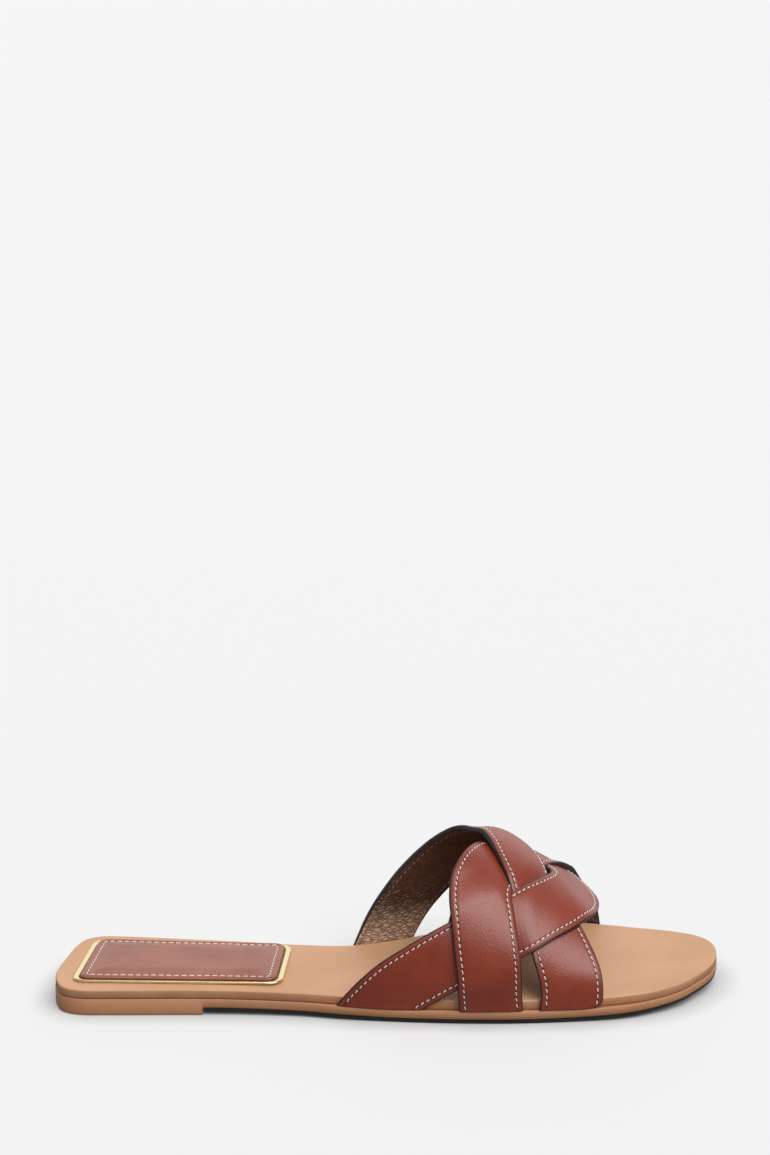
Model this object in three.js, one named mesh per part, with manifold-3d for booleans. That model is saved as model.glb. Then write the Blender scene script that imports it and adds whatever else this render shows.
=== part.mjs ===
// Slide sandal for the right foot: a flat stacked sole and an upper of three braided leather straps.
// Millimetres. X runs from heel to toe, Y from the outer to the inner side of the foot, Z up.
import * as THREE from "three";
import { mergeVertices } from "three/addons/utils/BufferGeometryUtils.js";
import Module from "manifold-3d";

const wasm = await Module();
wasm.setup();
const { clamp, lerp, smoothstep } = THREE.MathUtils;

// Driving sizes of the sole
const shoeLength = 256;
const ballWidth = 88;
const heelLength = 57.4;
const insoleBoard = 3.4;
const outsoleLayer = 3.4;
const heelLift = 2.9;
const treadSheet = 1.3;
const toeSpring = 3.2;
const seam = 0.3;
const boardEdge = 0.9;
const outsoleEdge = 0.5;
const edgeLedge = 0.5;
const strapLedge = 1.7;
const treadInset = 0.55;

// Driving sizes of the upper
const strapWidth = 23.2;
const strapWall = 2.4;
const skivedWall = 1.4;
const skiveRise = 13;
const crestHeight = 62;
const crestLean = 4.4;
const archSquareness = 2.3;
const skirtClearance = 0.4;

// Driving sizes of the heel pad and its frame
const padThickness = 1.8;
const padEdge = 0.6;
const padBulge = 0.8;
const frameThickness = 0.9;
const frameEndBar = 2.2;
const frameSideBar = 1.3;
const frameCornerRadius = 6;

// How finely curves are cut into facets
const outlineSteps = 4;
const sideSteps = 48;
const strapStations = 46;
const strapFacets = 5;
const walkStep = 1.6;
const cornerSteps = 8;

// Outline of the insole board, from the back of the heel along the outer side, round the toe and back.
// along is a share of shoeLength, across a share of ballWidth.
const outline = [
  { along: 0.0020, across: -0.114 },
  { along: 0.0070, across: -0.215 },
  { along: 0.0190, across: -0.288 },
  { along: 0.0420, across: -0.323 },
  { along: 0.0900, across: -0.329 },
  { along: 0.1800, across: -0.327 },
  { along: 0.2750, across: -0.330 },
  { along: 0.3700, across: -0.350 },
  { along: 0.4700, across: -0.385 },
  { along: 0.5780, across: -0.413 },
  { along: 0.6720, across: -0.417 },
  { along: 0.7600, across: -0.399 },
  { along: 0.8300, across: -0.372 },
  { along: 0.8840, across: -0.325 },
  { along: 0.9270, across: -0.243 },
  { along: 0.9550, across: -0.148 },
  { along: 0.9800, across: -0.040 },
  { along: 0.9930, across: 0.074 },
  { along: 0.9970, across: 0.182 },
  { along: 0.9905, across: 0.280 },
  { along: 0.9700, across: 0.362 },
  { along: 0.9300, across: 0.430 },
  { along: 0.8830, across: 0.483 },
  { along: 0.8360, across: 0.536 },
  { along: 0.7970, across: 0.571 },
  { along: 0.7450, across: 0.581 },
  { along: 0.6880, across: 0.555 },
  { along: 0.6200, across: 0.493 },
  { along: 0.5550, across: 0.412 },
  { along: 0.4950, across: 0.322 },
  { along: 0.4300, across: 0.251 },
  { along: 0.3550, across: 0.252 },
  { along: 0.2650, across: 0.283 },
  { along: 0.1700, across: 0.315 },
  { along: 0.0940, across: 0.344 },
  { along: 0.0540, across: 0.347 },
  { along: 0.0310, across: 0.310 },
  { along: 0.0190, across: 0.226 },
  { along: 0.0100, across: 0.080 },
];

// Side view of the sole. waist is the share of heelLift that the outsole still stands above its tread,
// spring the share of toeSpring, and thinning the share of each layer's thickness lost towards the toe.
const sideView = [
  { along: 0.00, waist: 1.00, spring: 0.00, thinning: 0.00 },
  { along: 0.24, waist: 1.00, spring: 0.00, thinning: 0.00 },
  { along: 0.38, waist: 0.60, spring: 0.00, thinning: 0.00 },
  { along: 0.50, waist: 0.00, spring: 0.00, thinning: 0.00 },
  { along: 0.60, waist: 0.00, spring: 0.00, thinning: 0.00 },
  { along: 0.72, waist: 0.00, spring: 0.00, thinning: 0.00 },
  { along: 0.82, waist: 0.00, spring: 0.19, thinning: 0.04 },
  { along: 0.91, waist: 0.00, spring: 0.59, thinning: 0.11 },
  { along: 1.00, waist: 0.00, spring: 1.10, thinning: 0.20 },
  { along: 1.05, waist: 0.00, spring: 1.43, thinning: 0.24 },
];

// Inside height of the upper over the instep, as a share of crestHeight above the strap seats.
const instep = [
  { along: 0.38, height: 1.060 },
  { along: 0.50, height: 0.975 },
  { along: 0.60, height: 0.875 },
  { along: 0.67, height: 0.765 },
  { along: 0.72, height: 0.650 },
  { along: 0.77, height: 0.515 },
  { along: 0.82, height: 0.400 },
  { along: 0.90, height: 0.290 },
];

// Centre lines of the straps. round goes from 0 at the outer edge of the sole over the instep to 1 at
// the inner edge, along is a share of shoeLength, lift a share of strapWall by which a strap is raised
// where it crosses over another. The rows beyond 0 and 1 run past the seats, where the ends are trimmed.
const innerRearToOuterFront = [
  { round: 1.06, along: 0.467, lift: 0.0 },
  { round: 1.00, along: 0.486, lift: 0.0 },
  { round: 0.94, along: 0.508, lift: 0.0 },
  { round: 0.88, along: 0.536, lift: 0.0 },
  { round: 0.80, along: 0.582, lift: 0.0 },
  { round: 0.73, along: 0.615, lift: 0.2 },
  { round: 0.65, along: 0.643, lift: 0.8 },
  { round: 0.57, along: 0.662, lift: 0.9 },
  { round: 0.47, along: 0.681, lift: 0.9 },
  { round: 0.42, along: 0.689, lift: 0.7 },
  { round: 0.37, along: 0.700, lift: 0.3 },
  { round: 0.28, along: 0.725, lift: 0.0 },
  { round: 0.19, along: 0.746, lift: 0.0 },
  { round: 0.10, along: 0.761, lift: 0.0 },
  { round: 0.00, along: 0.762, lift: 0.0 },
  { round: -0.06, along: 0.758, lift: 0.0 },
];
const outerRearToInnerMiddle = [
  { round: -0.06, along: 0.448, lift: 0.0 },
  { round: -0.02, along: 0.466, lift: 0.0 },
  { round: 0.035, along: 0.505, lift: 0.0 },
  { round: 0.075, along: 0.546, lift: 0.0 },
  { round: 0.113, along: 0.587, lift: 0.0 },
  { round: 0.152, along: 0.628, lift: 0.0 },
  { round: 0.19, along: 0.664, lift: 0.0 },
  { round: 0.22, along: 0.688, lift: 0.4 },
  { round: 0.252, along: 0.708, lift: 0.9 },
  { round: 0.295, along: 0.733, lift: 1.1 },
  { round: 0.34, along: 0.752, lift: 1.0 },
  { round: 0.385, along: 0.765, lift: 0.9 },
  { round: 0.43, along: 0.770, lift: 0.8 },
  { round: 0.50, along: 0.762, lift: 0.4 },
  { round: 0.57, along: 0.746, lift: 0.0 },
  { round: 0.67, along: 0.716, lift: 0.0 },
  { round: 0.78, along: 0.684, lift: 0.0 },
  { round: 0.90, along: 0.651, lift: 0.0 },
  { round: 1.00, along: 0.631, lift: 0.0 },
  { round: 1.06, along: 0.608, lift: 0.0 },
];
const outerMiddleToInnerFront = [
  { round: -0.06, along: 0.648, lift: 0.0 },
  { round: 0.00, along: 0.646, lift: 0.0 },
  { round: 0.04, along: 0.644, lift: 0.4 },
  { round: 0.09, along: 0.642, lift: 0.8 },
  { round: 0.146, along: 0.637, lift: 0.9 },
  { round: 0.206, along: 0.632, lift: 0.9 },
  { round: 0.25, along: 0.629, lift: 0.7 },
  { round: 0.29, along: 0.632, lift: 0.3 },
  { round: 0.335, along: 0.642, lift: 0.0 },
  { round: 0.40, along: 0.661, lift: 0.0 },
  { round: 0.48, along: 0.683, lift: 0.0 },
  { round: 0.56, along: 0.704, lift: 0.3 },
  { round: 0.64, along: 0.723, lift: 0.9 },
  { round: 0.72, along: 0.742, lift: 0.9 },
  { round: 0.81, along: 0.763, lift: 0.5 },
  { round: 0.90, along: 0.779, lift: 0.0 },
  { round: 1.00, along: 0.787, lift: 0.0 },
  { round: 1.06, along: 0.789, lift: 0.0 },
];

// Corners of the frame round the heel pad: along a share of shoeLength, across a share of ballWidth.
const frameCorners = [
  { along: 0.029, across: -0.246 },
  { along: 0.340, across: -0.276 },
  { along: 0.350, across: 0.205 },
  { along: 0.045, across: 0.272 },
];

// A smooth function of the distance from the heel, read from one column of a table
function column(rows, name) {
  const stations = rows.map((row) => row.along);
  const curve = new THREE.CubicInterpolant(stations, rows.map((row) => row[name]), 1);
  return (x) => curve.evaluate(clamp(x / shoeLength, stations[0], stations.at(-1)))[0];
}

const waist = column(sideView, "waist");
const spring = column(sideView, "spring");
const thinning = column(sideView, "thinning");
const instepHeight = column(instep, "height");

// Heights of the layers at a distance from the heel
const treadBottom = (x) => Math.max(0, waist(x)) * (heelLift - treadSheet - seam) + spring(x) * toeSpring;
const treadTop = (x) => treadBottom(x) + treadSheet * (1 - 2 * thinning(x));
const outsoleBottom = (x) => treadTop(x) + seam;
const outsoleTop = (x) => outsoleBottom(x) + outsoleLayer * (1 - thinning(x));
const strapSeat = (x) => outsoleTop(x) + seam;
const insoleTop = (x) => strapSeat(x) + insoleBoard * (1 - 0.6 * thinning(x));

// Width of the outsole beyond the insole, greater where the straps come down
function ledge(x) {
  const enter = smoothstep(x / shoeLength, 0.36, 0.43);
  const leave = 1 - smoothstep(x / shoeLength, 0.83, 0.9);
  return lerp(edgeLedge, strapLedge, enter * leave);
}

// Closed plan curve of the insole, as points with their outward normals
function traceOutline() {
  const knots = outline.map((row) => new THREE.Vector3(row.along * shoeLength, row.across * ballWidth, 0));
  const curve = new THREE.CatmullRomCurve3(knots, true, "centripetal");
  const count = outline.length * outlineSteps;
  return Array.from({ length: count }, (_, i) => {
    const tangent = curve.getTangent(i / count);
    const normal = new THREE.Vector3(tangent.y, -tangent.x, 0).normalize();
    return { point: curve.getPoint(i / count), normal };
  });
}

const plan = traceOutline();

// Where the outer or the inner side of the insole runs at a distance from the heel
function sideOfInsole(x, inner) {
  const found = plan.findIndex(({ point: a }, i) => {
    const b = plan[(i + 1) % plan.length].point;
    return inner ? b.x <= x && x < a.x : a.x <= x && x < b.x;
  });
  const a = plan[found].point;
  const b = plan[(found + 1) % plan.length].point;
  return lerp(a.y, b.y, (x - a.x) / (b.x - a.x));
}

function geometryFrom(positions, triangles) {
  const geometry = new THREE.BufferGeometry();
  geometry.setAttribute("position", new THREE.Float32BufferAttribute(positions, 3));
  geometry.setIndex(triangles);
  return geometry;
}

function toManifold(geometry) {
  geometry.deleteAttribute("normal");
  geometry.deleteAttribute("uv");
  const merged = mergeVertices(geometry);
  const vertProperties = new Float32Array(merged.attributes.position.array);
  const triVerts = new Uint32Array(merged.index.array);
  return new wasm.Manifold(new wasm.Mesh({ numProp: 3, vertProperties, triVerts }));
}

function toGeometry(manifold) {
  const { vertProperties, triVerts } = manifold.getMesh();
  return geometryFrom(vertProperties, Array.from(triVerts));
}

// Everything under a line of the side view, right across the shoe
function below(height, from, to) {
  const shape = new THREE.Shape();
  shape.moveTo(from, -crestHeight);
  for (let i = 0; i <= sideSteps; i++) {
    const x = lerp(from, to, i / sideSteps);
    shape.lineTo(x, height(x));
  }
  shape.lineTo(to, -crestHeight);
  const body = new THREE.ExtrudeGeometry(shape, { depth: 2 * ballWidth, bevelEnabled: false, steps: 1 });
  body.rotateX(Math.PI / 2);
  body.translate(0, ballWidth, 0);
  return toManifold(body);
}

// Joins neighbouring rings of points, each given from the outside in its winding order
function joinRings(triangles, ringCount, ringSize) {
  for (let ring = 0; ring + 1 < ringCount; ring++) {
    for (let i = 0; i < ringSize; i++) {
      const j = (i + 1) % ringSize;
      const low = ring * ringSize;
      const high = low + ringSize;
      triangles.push(low + i, low + j, high + j, low + i, high + j, high + i);
    }
  }
}

// Fills a plan ring with ties straight across it, so that the face follows the side view
function tieAcross(ring, triangles, first, facesUp) {
  const count = ring.length;
  const along = ring.map((p) => p.x);
  const heel = along.indexOf(Math.min(...along));
  const toe = along.indexOf(Math.max(...along));
  let outer = heel;
  let inner = heel;
  while (outer !== toe || inner !== toe) {
    const nextOuter = (outer + 1) % count;
    const nextInner = (inner - 1 + count) % count;
    const goOuter = inner === toe || (outer !== toe && along[nextOuter] <= along[nextInner]);
    const corners = goOuter ? [outer, nextOuter, inner] : [outer, nextInner, inner];
    if (new Set(corners).size === 3) {
      const [a, b, c] = corners.map((corner) => corner + first);
      triangles.push(...(facesUp ? [a, b, c] : [a, c, b]));
    }
    if (goOuter) outer = nextOuter;
    else inner = nextInner;
  }
}

// A plate inside the plan outline: one ring of points for each row of its edge, from the bottom up
function plate(edge) {
  const positions = [];
  const triangles = [];
  const rings = edge.map(({ out, height }) =>
    plan.map(({ point, normal }) => {
      const moved = point.clone().addScaledVector(normal, out(point.x));
      return moved.setZ(height(moved.x));
    }),
  );
  for (const ring of rings) for (const p of ring) positions.push(p.x, p.y, p.z);
  joinRings(triangles, rings.length, plan.length);
  tieAcross(rings[0], triangles, 0, false);
  tieAcross(rings.at(-1), triangles, (rings.length - 1) * plan.length, true);
  return toManifold(geometryFrom(positions, triangles));
}

// Insole board with a softly rounded top edge
function makeInsole() {
  const bottomEdge = boardEdge / 2;
  return plate([
    { out: () => -bottomEdge, height: strapSeat },
    { out: () => 0, height: (x) => strapSeat(x) + bottomEdge },
    { out: () => 0, height: (x) => insoleTop(x) - boardEdge },
    { out: () => -0.3 * boardEdge, height: (x) => insoleTop(x) - 0.3 * boardEdge },
    { out: () => -boardEdge, height: insoleTop },
  ]);
}

// Outsole and heel lift in one piece: a full plate, undercut from the breast of the heel to the toe
function makeOutsole() {
  const full = plate([
    { out: (x) => ledge(x) - outsoleEdge, height: () => 0 },
    { out: ledge, height: () => outsoleEdge },
    { out: ledge, height: (x) => outsoleTop(x) - outsoleEdge },
    { out: (x) => ledge(x) - outsoleEdge, height: outsoleTop },
  ]);
  return full.subtract(below(outsoleBottom, heelLength, 1.04 * shoeLength));
}

// Thin rubber tread under the sole, from the breast of the heel to the toe
function makeTread() {
  const full = plate([
    { out: (x) => ledge(x) - 2 * treadInset, height: treadBottom },
    { out: (x) => ledge(x) - treadInset, height: (x) => lerp(treadBottom(x), treadTop(x), 0.4) },
    { out: (x) => ledge(x) - treadInset, height: treadTop },
  ]);
  return full.subtract(below(() => crestHeight, -ballWidth, heelLength + treadSheet));
}

// Inside of the upper: a squared arch over the foot that stands beside the insole. Past 0 and 1 it runs
// straight down, where the strap ends are trimmed.
function lastPoint(round, x) {
  const outer = sideOfInsole(x, false) - skirtClearance;
  const inner = sideOfInsole(x, true) + skirtClearance;
  const onArch = clamp(round, 0, 1);
  const side = Math.cos(Math.PI * onArch);
  const rise = Math.sin(Math.PI * onArch);
  const reach = (Math.abs(side) ** archSquareness + rise ** archSquareness) ** (-1 / archSquareness);
  const drop = Math.abs(round - onArch) * Math.PI * crestHeight;
  return new THREE.Vector3(
    x,
    (outer + inner) / 2 - ((inner - outer) / 2) * reach * side + crestLean * (rise * reach) ** 2,
    strapSeat(x) + crestHeight * instepHeight(x) * reach * rise - drop,
  );
}

// The two surface directions of the last at a place on it, and its outward normal
function lastFrame({ round, x }) {
  const roundStep = 0.002;
  const xStep = 0.5;
  const byRound = lastPoint(round + roundStep, x).sub(lastPoint(round - roundStep, x));
  const byX = lastPoint(round, x + xStep).sub(lastPoint(round, x - xStep));
  byRound.divideScalar(2 * roundStep);
  byX.divideScalar(2 * xStep);
  return { byRound, byX, normal: byX.clone().cross(byRound).normalize() };
}

// Walks over the last from a place on it, sideways by a distance
function walk(start, sideways, distance) {
  const steps = Math.max(1, Math.ceil(Math.abs(distance) / walkStep));
  let at = start;
  for (let i = 0; i < steps; i++) {
    const { byRound, byX, normal } = lastFrame(at);
    const heading = sideways.clone().addScaledVector(normal, -sideways.dot(normal)).normalize();
    heading.multiplyScalar(distance / steps);
    const [rr, rx, xx] = [byRound.dot(byRound), byRound.dot(byX), byX.dot(byX)];
    const [alongRound, alongX] = [byRound.dot(heading), byX.dot(heading)];
    const area = rr * xx - rx * rx;
    at = {
      round: at.round + (xx * alongRound - rx * alongX) / area,
      x: at.x + (rr * alongX - rx * alongRound) / area,
    };
  }
  return at;
}

// Cross section of a strap: across as a share of half its width, through as a share of its wall
function strapSection() {
  const softness = 0.04;
  const inside = [];
  const outside = [];
  for (let i = 0; i <= strapFacets; i++) {
    const across = (1 - softness) * ((2 * i) / strapFacets - 1);
    inside.push({ across, through: 0 });
    outside.unshift({ across, through: 1 });
  }
  const edge = (across, order) => order.map((through) => ({ across, through }));
  return [...inside, ...edge(1, [0.3, 0.7]), ...outside, ...edge(-1, [0.7, 0.3])];
}

// One strap: its section carried along the centre line, its faces following the last
function makeStrap(line) {
  const archLength = Math.PI * crestHeight;
  const knots = line.map(
    ({ round, along, lift }) => new THREE.Vector3(along * shoeLength, round * archLength, lift),
  );
  const path = new THREE.CatmullRomCurve3(knots, false, "centripetal");
  const stations = Array.from({ length: strapStations + 1 }, (_, i) => {
    const { x, y, z } = path.getPoint(i / strapStations);
    return { x, round: y / archLength, lift: Math.max(0, z) };
  });
  const centres = stations.map(({ round, x }) => lastPoint(round, x));
  const section = strapSection();
  const positions = [];
  stations.forEach((station, i) => {
    const ahead = centres[Math.min(strapStations, i + 1)].clone().sub(centres[Math.max(0, i - 1)]);
    const sideways = lastFrame(station).normal.cross(ahead).normalize();
    for (const { across, through } of section) {
      const at = walk(station, sideways, (across * strapWidth) / 2);
      const { normal } = lastFrame(at);
      const p = lastPoint(at.round, at.x);
      const risen = smoothstep(p.z - strapSeat(at.x), 0, skiveRise);
      const wall = lerp(skivedWall, strapWall, risen);
      p.addScaledVector(normal, station.lift * strapWall * risen + through * wall);
      positions.push(p.x, p.y, p.z);
    }
  });
  const triangles = [];
  joinRings(triangles, stations.length, section.length);
  const flat = section.map(
    ({ across, through }) => new THREE.Vector2(across * strapWidth, through * strapWall),
  );
  const last = strapStations * section.length;
  for (const [a, b, c] of THREE.ShapeUtils.triangulateShape(flat, [])) {
    triangles.push(a, c, b, last + a, last + b, last + c);
  }
  return toManifold(geometryFrom(positions, triangles));
}

// The straps joined where they cross, trimmed at their seats on the outsole, with no sealed pockets
function makeUpper() {
  const lines = [innerRearToOuterFront, outerRearToInnerMiddle, outerMiddleToInnerFront];
  const braid = lines.map(makeStrap).reduce((joined, strap) => joined.add(strap));
  const shells = braid.subtract(below(strapSeat, 0.3 * shoeLength, shoeLength)).decompose();
  return shells.reduce((largest, shell) => (shell.volume() > largest.volume() ? shell : largest));
}

// A four sided panel with round corners, drawn in from the corners of the frame
function panel(endInset, sideInset, radius) {
  const corners = frameCorners.map(
    ({ along, across }) => new THREE.Vector2(along * shoeLength, across * ballWidth),
  );
  const insets = [sideInset, endInset, sideInset, endInset];
  const sides = corners.map((corner, i) => {
    const direction = corners[(i + 1) % corners.length].clone().sub(corner).normalize();
    const inward = new THREE.Vector2(-direction.y, direction.x);
    return { from: corner.clone().addScaledVector(inward, insets[i]), direction };
  });
  const shape = new THREE.Shape();
  sides.forEach((side, i) => {
    const next = sides[(i + 1) % sides.length];
    const offset = next.from.clone().sub(side.from);
    const reach = offset.cross(next.direction) / side.direction.cross(next.direction);
    const corner = side.from.clone().addScaledVector(side.direction, reach);
    const start = corner.clone().addScaledVector(side.direction, -radius);
    const end = corner.clone().addScaledVector(next.direction, radius);
    if (i === 0) shape.moveTo(start.x, start.y);
    else shape.lineTo(start.x, start.y);
    shape.quadraticCurveTo(corner.x, corner.y, end.x, end.y);
  });
  shape.closePath();
  return shape;
}

const padFloor = insoleTop(0) + seam;

// Metal frame that lies on the insole round the pad
function makePadFrame() {
  const shape = panel(0, 0, frameCornerRadius);
  shape.holes.push(panel(frameEndBar, frameSideBar, frameCornerRadius - frameSideBar));
  const cut = { depth: frameThickness, bevelEnabled: false, curveSegments: cornerSteps, steps: 1 };
  return new THREE.ExtrudeGeometry(shape, cut).translate(0, 0, padFloor);
}

// Leather pad inside the frame, with a rounded edge
function makeHeelPad() {
  const inset = seam + padBulge;
  const shape = panel(frameEndBar + inset, frameSideBar + inset, frameCornerRadius - frameSideBar - seam);
  const cut = {
    depth: padThickness - 2 * padEdge,
    bevelEnabled: true,
    bevelThickness: padEdge,
    bevelSize: padBulge,
    bevelSegments: 2,
    curveSegments: cornerSteps,
    steps: 1,
  };
  return new THREE.ExtrudeGeometry(shape, cut).translate(0, 0, padFloor + padEdge);
}

const group = new THREE.Group();

function addPart(name, geometry, color, roughness, metalness) {
  const mesh = new THREE.Mesh(geometry, new THREE.MeshStandardMaterial({ color, roughness, metalness }));
  mesh.name = name;
  group.add(mesh);
}

addPart("outsole", toGeometry(makeOutsole()), 0x9f6d4f, 0.55, 0);
addPart("tread", toGeometry(makeTread()), 0x242222, 0.8, 0);
addPart("insole", toGeometry(makeInsole()), 0xd9a988, 0.6, 0);
addPart("upper", toGeometry(makeUpper()), 0x6b3226, 0.4, 0);
addPart("pad_frame", makePadFrame(), 0xe6c888, 0.25, 1);
addPart("heel_pad", makeHeelPad(), 0xa86c5c, 0.45, 0);

// The origin stands on the floor under the middle of the shoe.
const bounds = new THREE.Box3().setFromObject(group);
const middle = bounds.getCenter(new THREE.Vector3());
for (const mesh of group.children) mesh.geometry.translate(-middle.x, -middle.y, -bounds.min.z);

export default group;
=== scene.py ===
"""Looks of a slide sandal for the right foot: braided leather straps on a low stacked sole."""

import math

import bpy
import numpy as np
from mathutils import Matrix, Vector, noise


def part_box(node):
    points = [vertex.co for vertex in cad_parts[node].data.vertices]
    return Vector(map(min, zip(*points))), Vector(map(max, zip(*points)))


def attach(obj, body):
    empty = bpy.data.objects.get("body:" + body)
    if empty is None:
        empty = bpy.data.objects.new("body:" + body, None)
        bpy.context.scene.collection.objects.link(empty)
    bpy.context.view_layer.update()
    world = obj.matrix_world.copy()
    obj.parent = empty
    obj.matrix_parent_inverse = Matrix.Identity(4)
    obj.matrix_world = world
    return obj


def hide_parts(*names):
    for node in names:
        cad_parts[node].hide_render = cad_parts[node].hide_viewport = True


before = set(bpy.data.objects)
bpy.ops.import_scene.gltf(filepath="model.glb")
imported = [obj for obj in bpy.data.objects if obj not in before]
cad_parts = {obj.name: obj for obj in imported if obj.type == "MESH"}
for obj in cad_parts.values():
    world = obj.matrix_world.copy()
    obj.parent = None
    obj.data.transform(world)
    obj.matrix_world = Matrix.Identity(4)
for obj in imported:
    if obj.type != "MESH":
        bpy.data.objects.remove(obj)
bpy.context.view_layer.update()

# Camera. The view is the photograph's: level with the floor's length, about 1 m away and 20 degrees up.
# The camera points above the shoe, which stands low in a tall picture.
MM = 0.001
view_height = math.radians(20.3)
view_drop = math.radians(11.76)
view_distance = 1.0
aim = Vector((-1.95 * MM, -6.48 * MM, 10 * MM))
camera_data = bpy.data.cameras.new("camera")
camera_data.lens = 80
camera_data.sensor_fit = "VERTICAL"
camera_data.sensor_height = 36
camera = bpy.data.objects.new("camera", camera_data)
bpy.context.scene.collection.objects.link(camera)
camera.location = aim + view_distance * Vector((0, -math.cos(view_height), math.sin(view_height)))
camera.rotation_euler = (math.pi / 2 - view_drop, 0, 0)
bpy.context.scene.camera = camera
bpy.context.scene.view_settings.view_transform = "Standard"


# Studio. A wide dish of white paper under a pale ceiling, with one very large soft light overhead and
# in front, which gives the straps their broad highlights and the sole its soft shadow. The paper glows
# a little, so that it stays evenly pale, but less where something stands close over it.
def add_mesh(name, vertices, faces, smooth=True):
    mesh = bpy.data.meshes.new(name)
    mesh.from_pydata([tuple(v) for v in vertices], [], [tuple(int(i) for i in f) for f in faces])
    mesh.polygons.foreach_set("use_smooth", [smooth] * len(mesh.polygons))
    mesh.update()
    piece = bpy.data.objects.new(name, mesh)
    bpy.context.scene.collection.objects.link(piece)
    return piece


def linear(red, green, blue):
    """A colour as a screen shows it, from 0 to 255, turned into light."""
    return tuple(
        c / 255 / 12.92 if c <= 10 else ((c / 255 + 0.055) / 1.055) ** 2.4 for c in (red, green, blue)
    ) + (1.0,)


class Value:
    """A number or colour on a shader socket. Arithmetic on it adds Math nodes."""

    def __init__(self, paint, socket):
        self.paint = paint
        self.socket = socket

    def math(self, operation, *others):
        sockets = dict(enumerate((self, *others)))
        return self.paint.node("ShaderNodeMath", {"operation": operation}, sockets)

    def __add__(self, other):
        return self.math("ADD", other)

    def __mul__(self, other):
        return self.math("MULTIPLY", other)

    def __sub__(self, other):
        return self.math("SUBTRACT", other)

    def __neg__(self):
        return self * -1

    def __rsub__(self, other):
        return -self + other

    def __abs__(self):
        return self.math("ABSOLUTE")

    __radd__ = __add__
    __rmul__ = __mul__

    def ramp(self, start, end):
        """A smooth step from 0 at start to 1 at end."""
        settings = {"interpolation_type": "SMOOTHSTEP"}
        return self.paint.node("ShaderNodeMapRange", settings, {0: self, 1: start, 2: end})


class Nodes:
    """The nodes of a world or a material, with short ways to add the ones used here."""

    def __init__(self, owner, shader):
        owner.use_nodes = True
        self.tree = owner.node_tree
        self.shader = self.tree.nodes[shader]

    def node(self, kind, settings, inputs, output=0):
        made = self.tree.nodes.new(kind)
        for name, value in settings.items():
            setattr(made, name, value)
        for name, value in inputs.items():
            self.feed(made.inputs[name], value)
        return Value(self, made.outputs[output])

    def feed(self, socket, value):
        if isinstance(value, Value):
            self.tree.links.new(value.socket, socket)
        else:
            socket.default_value = value

    def place(self, kind="Object"):
        """Where a point is: in the row frame, in metres, unless another kind of place is named."""
        return self.node("ShaderNodeTexCoord", {}, {}, kind)

    def part(self, vector, axis):
        return self.node("ShaderNodeSeparateXYZ", {}, {0: vector}, axis)

    def noise(self, place, size, detail=2.0, roughness=0.5):
        inputs = {"Vector": place, "Scale": 1 / size, "Detail": detail, "Roughness": roughness}
        return self.node("ShaderNodeTexNoise", {}, inputs)

    def cells(self, place, size, feature="F1"):
        inputs = {"Vector": place, "Scale": 1 / size}
        return self.node("ShaderNodeTexVoronoi", {"feature": feature}, inputs)

    def blend(self, share, low, high):
        inputs = {"Factor": share, 6: low, 7: high}
        return self.node("ShaderNodeMix", {"data_type": "RGBA"}, inputs, 2)


class Paint(Nodes):
    """A material in the making. Its values feed the sockets of one Principled shader."""

    def __init__(self, name, **constants):
        self.material = bpy.data.materials.new(name)
        super().__init__(self.material, "Principled BSDF")
        for socket, value in constants.items():
            self.shader.inputs[socket.replace("_", " ").title().replace("Ior", "IOR")].default_value = value

    def finish(self, color, roughness, height=None, depth=0.0):
        """Feeds the shader; height is the relief from 0 to 1 and depth its size in metres."""
        self.feed(self.shader.inputs["Base Color"], color)
        self.feed(self.shader.inputs["Roughness"], roughness)
        if height is not None:
            bump = self.node("ShaderNodeBump", {}, {"Strength": 1.0, "Distance": depth, "Height": height})
            self.feed(self.shader.inputs["Normal"], bump)
        return self.material


floor_glow = 0.523
shadow_reach = 12 * MM
dish_flat = 3.0
dish_bend = 12.0
dish_reach = 40.0
dish_slope = math.radians(4)
dish_turns = 64
radii = [0.0, 0.5, 1.5, dish_flat, 5.0, 8.0, 12.0, 20.0, dish_reach]
rim = []
for radius in radii[1:]:
    steep = dish_slope * min(1, max(0, radius - dish_flat) / dish_bend)
    height = max(0, radius - dish_flat) * math.tan(steep)
    for turn in range(dish_turns):
        angle = 2 * math.pi * turn / dish_turns
        rim.append((radius * math.cos(angle), radius * math.sin(angle), height))
strips = []
for ring in range(len(radii) - 2):
    for turn in range(dish_turns):
        a, b = ring * dish_turns + turn, ring * dish_turns + (turn + 1) % dish_turns
        strips.append((a, a + dish_turns, b + dish_turns, b))
strips.append(tuple(range(dish_turns)))
floor = add_mesh("floor", rim, strips)
paper = Paint("floor_paper", emission_strength=floor_glow)
openness = paper.node("ShaderNodeAmbientOcclusion", {"samples": 8}, {"Distance": shadow_reach}, "AO")
paper.feed(paper.shader.inputs["Emission Color"], paper.blend(openness, (0, 0, 0, 1), (1, 1, 1, 1)))
floor.data.materials.append(paper.finish(linear(160, 160, 160), 0.95))
floor.visible_glossy = False
floor.visible_diffuse = False

ceiling_light = 0.38
horizon_light = 0.16
below_light = 0.28
backdrop_light = 1.0
world = bpy.data.worlds.new("studio")
air = Nodes(world, "Background")
direction = air.place("Generated")
height = air.part(direction, 2)
shade = air.blend(height.ramp(-0.15, 0.05), (below_light,) * 3 + (1,), (horizon_light,) * 3 + (1,))
shade = air.blend(height.ramp(0.0, 0.9), shade, (ceiling_light,) * 3 + (1,))
behind = air.part(direction, 1).ramp(0.45, 0.85) * height.ramp(-0.12, 0.0)
shade = air.blend(behind, shade, (backdrop_light,) * 3 + (1,))
air.feed(air.shader.inputs["Color"], shade)
bpy.context.scene.world = world

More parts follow.
